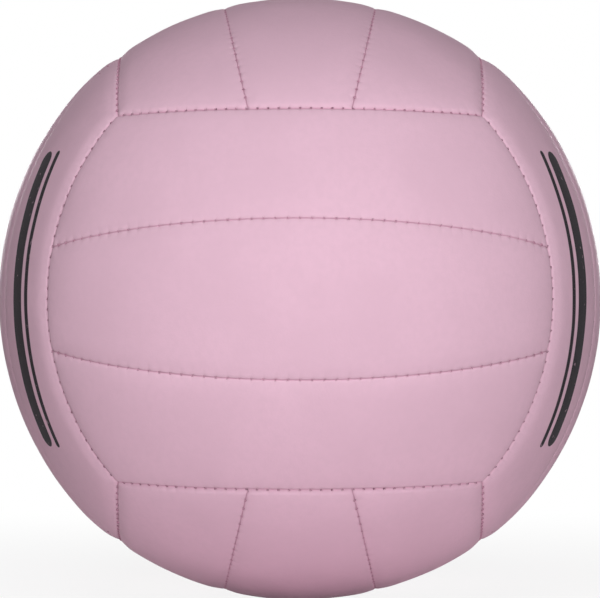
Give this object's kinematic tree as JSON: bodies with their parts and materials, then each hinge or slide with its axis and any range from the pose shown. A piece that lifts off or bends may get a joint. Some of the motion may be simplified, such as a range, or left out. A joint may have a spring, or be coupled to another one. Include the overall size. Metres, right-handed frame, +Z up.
{
  "type": "volleyball",
  "caption": "Indoor volleyball of stitched synthetic-leather strips over foam pads, cloth lining and a rubber bladder, with a needle valve.",
  "frame": {"origin": "centre of the ball", "axes": "+Z up and +X to the right as pictured, +Y away from the camera, where the valve is"},
  "size_m": [0.209, 0.2089, 0.209],
  "materials": {
    "skin": "satin",
    "thread": "satin",
    "foam": "matte",
    "lining": "matte",
    "bladder": "satin",
    "valve_housing": "matte",
    "valve_core": "matte"
  },
  "bodies": {
    "root": {"cover_front_middle": "skin", "cover_front_upper": "skin", "cover_front_lower": "skin", "cover_back_middle": "skin", "cover_back_lower": "skin", "cover_back_upper": "skin", "cover_right_middle": "skin", "cover_right_front": "skin", "cover_right_back": "skin", "cover_left_middle": "skin", "cover_left_back": "skin", "cover_left_front": "skin", "cover_top_middle": "skin", "cover_top_left": "skin", "cover_top_right": "skin", "cover_bottom_middle": "skin", "cover_bottom_right": "skin", "cover_bottom_left": "skin", "foam_front_middle": "foam", "foam_front_upper": "foam", "foam_front_lower": "foam", "foam_back_middle": "foam", "foam_back_lower": "foam", "foam_back_upper": "foam", "foam_right_middle": "foam", "foam_right_front": "foam", "foam_right_back": "foam", "foam_left_middle": "foam", "foam_left_back": "foam", "foam_left_front": "foam", "foam_top_middle": "foam", "foam_top_left": "foam", "foam_top_right": "foam", "foam_bottom_middle": "foam", "foam_bottom_right": "foam", "foam_bottom_left": "foam", "lining_front_middle": "lining", "lining_front_upper": "lining", "lining_front_lower": "lining", "lining_back_middle": "lining", "lining_back_lower": "lining", "lining_back_upper": "lining", "lining_right_middle": "lining", "lining_right_front": "lining", "lining_right_back": "lining", "lining_left_middle": "lining", "lining_left_back": "lining", "lining_left_front": "lining", "lining_top_middle": "lining", "lining_top_left": "lining", "lining_top_right": "lining", "lining_bottom_middle": "lining", "lining_bottom_right": "lining", "lining_bottom_left": "lining", "strip_seam_thread": "thread", "face_seam_thread": "thread", "bladder": "bladder", "valve_housing": "valve_housing", "valve_core": "valve_core", "valve_patch": "lining"}
  },
  "joints": []
}
